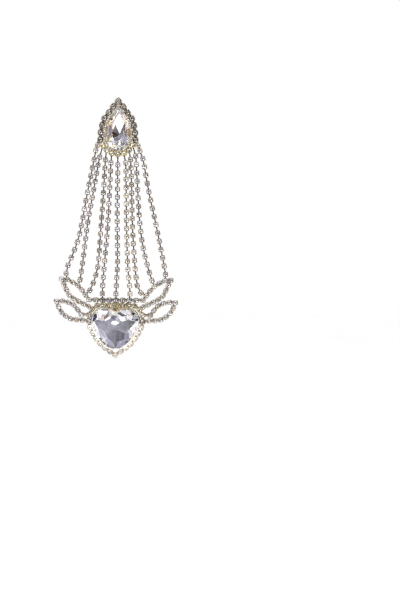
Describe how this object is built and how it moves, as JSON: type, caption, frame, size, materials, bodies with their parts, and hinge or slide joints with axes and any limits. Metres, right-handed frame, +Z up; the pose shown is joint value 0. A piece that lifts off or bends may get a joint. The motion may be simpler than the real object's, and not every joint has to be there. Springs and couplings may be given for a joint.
{
  "type": "chandelier earring",
  "caption": "Drop earring for a pierced ear: a pear-shaped stone in an arch of rhinestones carries strands of rhinestone chain down to a heart-shaped stone between leaf loops.",
  "frame": {"origin": "root of the ear post, on the back face of its pad", "axes": "+X across the earring, to the right as seen from the front; +Y back along the ear post, so the stones face -Y; +Z up, as the earring hangs"},
  "size_m": [0.0592, 0.0172, 0.1238],
  "materials": {
    "gold_metal": "polished pale gold plating",
    "rhinestone_cups": "clear faceted rhinestones in pale gold claw cups",
    "crystal": "clear cut crystal with a foiled back"
  },
  "bodies": {
    "root": {"ear_post": "gold_metal", "top_frame": "rhinestone_cups", "pear_stone": "crystal", "heart_frame": "rhinestone_cups", "heart_stone": "crystal", "strand_1": "rhinestone_cups", "strand_2": "rhinestone_cups", "strand_3": "rhinestone_cups", "strand_4": "rhinestone_cups", "strand_5": "rhinestone_cups", "strand_6": "rhinestone_cups", "strand_7": "rhinestone_cups", "strand_8": "rhinestone_cups", "strand_9": "rhinestone_cups"}
  },
  "joints": []
}
